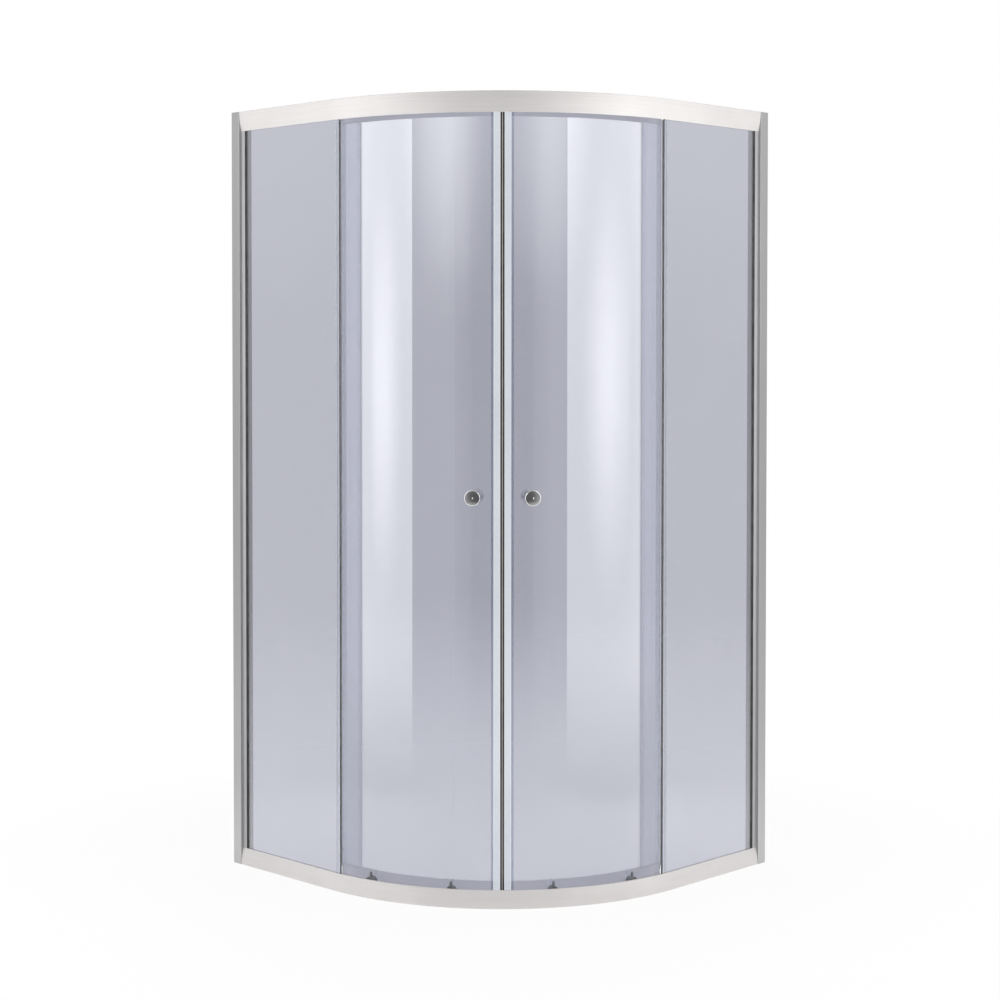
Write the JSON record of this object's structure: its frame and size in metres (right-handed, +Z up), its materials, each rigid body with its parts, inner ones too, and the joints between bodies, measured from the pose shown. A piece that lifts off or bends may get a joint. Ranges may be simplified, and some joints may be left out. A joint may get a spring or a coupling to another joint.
{
  "type": "quadrant shower enclosure",
  "caption": "Quadrant corner shower enclosure: fixed side panes, curved sliding glass doors on rollers, bent aluminium rails, wall profiles, clear seals and round chrome knobs.",
  "frame": {"origin": "on the floor, in the middle of the square footprint", "axes": "+Z up; the right-hand wall is at +Y and the left-hand wall at -X; the bow faces +X and -Y"},
  "size_m": [0.9, 0.9, 1.79],
  "materials": {
    "satin_aluminium": "satin anodised",
    "grey_tint_glass": "polished toughened glass with a light grey tint",
    "clear_pvc": "clear soft PVC",
    "black_rubber": "matt",
    "magnet_rubber": "matt magnet strip",
    "chrome_plate": "polished",
    "steel": "plain stainless",
    "grey_plastic": "moulded",
    "white_nylon": "turned nylon"
  },
  "bodies": {
    "frame": {"top_rail": "satin_aluminium", "bottom_rail": "satin_aluminium", "wall_profile_right": "satin_aluminium", "wall_profile_left": "satin_aluminium", "side_jamb_right": "satin_aluminium", "side_jamb_left": "satin_aluminium", "jamb_gasket_right": "black_rubber", "jamb_gasket_left": "black_rubber", "fixed_glass_right": "grey_tint_glass", "fixed_glass_left": "grey_tint_glass", "fixed_edge_seal_right": "clear_pvc", "fixed_edge_seal_left": "clear_pvc", "glazing_gaskets": "black_rubber", "rail_screws": "steel", "jamb_screws": "steel", "jamb_screw_caps": "grey_plastic", "door_stops": "black_rubber"},
    "door_right": {"door_glass_right": "grey_tint_glass", "magnet_seal_right": "clear_pvc", "magnet_strip_right": "magnet_rubber", "trailing_seal_right": "clear_pvc", "knob_outer_right": "chrome_plate", "knob_inner_right": "chrome_plate", "knob_bolt_right": "steel", "knob_washers_right": "white_nylon", "top_roller_hubs_right": "grey_plastic", "top_roller_axles_right": "steel", "top_roller_caps_right": "chrome_plate", "bottom_roller_housings_right": "grey_plastic", "bottom_roller_bolts_right": "chrome_plate", "release_spring_lead_right": "steel", "release_spring_trail_right": "steel"},
    "release_post_lead_right": {"release_plunger_lead_right": "grey_plastic"},
    "top_wheel_lead_right_body": {"top_wheel_lead_right": "white_nylon"},
    "bottom_wheel_lead_right_body": {"bottom_wheel_lead_right": "white_nylon"},
    "release_post_trail_right": {"release_plunger_trail_right": "grey_plastic"},
    "top_wheel_trail_right_body": {"top_wheel_trail_right": "white_nylon"},
    "bottom_wheel_trail_right_body": {"bottom_wheel_trail_right": "white_nylon"},
    "door_left": {"door_glass_left": "grey_tint_glass", "magnet_seal_left": "clear_pvc", "magnet_strip_left": "magnet_rubber", "trailing_seal_left": "clear_pvc", "knob_outer_left": "chrome_plate", "knob_inner_left": "chrome_plate", "knob_bolt_left": "steel", "knob_washers_left": "white_nylon", "top_roller_hubs_left": "grey_plastic", "top_roller_axles_left": "steel", "top_roller_caps_left": "chrome_plate", "bottom_roller_housings_left": "grey_plastic", "bottom_roller_bolts_left": "chrome_plate", "release_spring_lead_left": "steel", "release_spring_trail_left": "steel"},
    "release_post_lead_left": {"release_plunger_lead_left": "grey_plastic"},
    "top_wheel_lead_left_body": {"top_wheel_lead_left": "white_nylon"},
    "bottom_wheel_lead_left_body": {"bottom_wheel_lead_left": "white_nylon"},
    "release_post_trail_left": {"release_plunger_trail_left": "grey_plastic"},
    "top_wheel_trail_left_body": {"top_wheel_trail_left": "white_nylon"},
    "bottom_wheel_trail_left_body": {"bottom_wheel_trail_left": "white_nylon"}
  },
  "joints": [
    {"name": "door_right_slide", "type": "hinge", "parent": "frame", "child": "door_right", "pos_m": [-0.23021, 0.13645, 0], "axis": [0, 0, 1], "range_deg": [0, 20.57]},
    {"name": "release_post_lead_right_lift", "type": "slide", "parent": "door_right", "child": "release_post_lead_right", "axis": [0, 0, 1], "range_m": [0, 0.006], "stiffness_N_per_m": 500, "springref_m": -0.006, "deforming": ["release_spring_lead_right"]},
    {"name": "top_wheel_lead_right_spin", "type": "hinge", "parent": "door_right", "child": "top_wheel_lead_right_body", "pos_m": [0.34341, -0.17923, 1.7734], "axis": [0.8462, -0.5329, 0], "continuous": true},
    {"name": "bottom_wheel_lead_right_spin", "type": "hinge", "parent": "release_post_lead_right", "child": "bottom_wheel_lead_right_body", "pos_m": [0.34281, -0.17885, 0.0094], "axis": [0.8462, -0.5329, 0], "continuous": true},
    {"name": "release_post_trail_right_lift", "type": "slide", "parent": "door_right", "child": "release_post_trail_right", "axis": [0, 0, 1], "range_m": [0, 0.006], "stiffness_N_per_m": 500, "springref_m": -0.006, "deforming": ["release_spring_trail_right"]},
    {"name": "top_wheel_trail_right_spin", "type": "hinge", "parent": "door_right", "child": "top_wheel_trail_right_body", "pos_m": [0.41612, 0.00946, 1.7734], "axis": [0.985, -0.1728, 0], "continuous": true},
    {"name": "bottom_wheel_trail_right_spin", "type": "hinge", "parent": "release_post_trail_right", "child": "bottom_wheel_trail_right_body", "pos_m": [0.41543, 0.00958, 0.0094], "axis": [0.985, -0.1728, 0], "continuous": true},
    {"name": "door_left_slide", "type": "hinge", "parent": "frame", "child": "door_left", "pos_m": [-0.13645, 0.23021, 0], "axis": [0, 0, -1], "range_deg": [0, 20.57]},
    {"name": "release_post_lead_left_lift", "type": "slide", "parent": "door_left", "child": "release_post_lead_left", "axis": [0, 0, 1], "range_m": [0, 0.006], "stiffness_N_per_m": 500, "springref_m": -0.006, "deforming": ["release_spring_lead_left"]},
    {"name": "top_wheel_lead_left_spin", "type": "hinge", "parent": "door_left", "child": "top_wheel_lead_left_body", "pos_m": [0.17923, -0.34341, 1.7734], "axis": [0.5329, -0.8462, 0], "continuous": true},
    {"name": "bottom_wheel_lead_left_spin", "type": "hinge", "parent": "release_post_lead_left", "child": "bottom_wheel_lead_left_body", "pos_m": [0.17885, -0.34281, 0.0094], "axis": [0.5329, -0.8462, 0], "continuous": true},
    {"name": "release_post_trail_left_lift", "type": "slide", "parent": "door_left", "child": "release_post_trail_left", "axis": [0, 0, 1], "range_m": [0, 0.006], "stiffness_N_per_m": 500, "springref_m": -0.006, "deforming": ["release_spring_trail_left"]},
    {"name": "top_wheel_trail_left_spin", "type": "hinge", "parent": "door_left", "child": "top_wheel_trail_left_body", "pos_m": [-0.00946, -0.41612, 1.7734], "axis": [0.1728, -0.985, 0], "continuous": true},
    {"name": "bottom_wheel_trail_left_spin", "type": "hinge", "parent": "release_post_trail_left", "child": "bottom_wheel_trail_left_body", "pos_m": [-0.00958, -0.41543, 0.0094], "axis": [0.1728, -0.985, 0], "continuous": true}
  ],
  "couplings": [
    {"joint": "top_wheel_lead_right_spin", "follows": "door_right_slide", "ratio": -56.835},
    {"joint": "bottom_wheel_lead_right_spin", "follows": "door_right_slide", "ratio": -87.054},
    {"joint": "top_wheel_trail_right_spin", "follows": "door_right_slide", "ratio": -57.265},
    {"joint": "bottom_wheel_trail_right_spin", "follows": "door_right_slide", "ratio": -87.713},
    {"joint": "top_wheel_lead_left_spin", "follows": "door_left_slide", "ratio": 56.835},
    {"joint": "bottom_wheel_lead_left_spin", "follows": "door_left_slide", "ratio": 87.054},
    {"joint": "top_wheel_trail_left_spin", "follows": "door_left_slide", "ratio": 57.265},
    {"joint": "bottom_wheel_trail_left_spin", "follows": "door_left_slide", "ratio": 87.713}
  ]
}
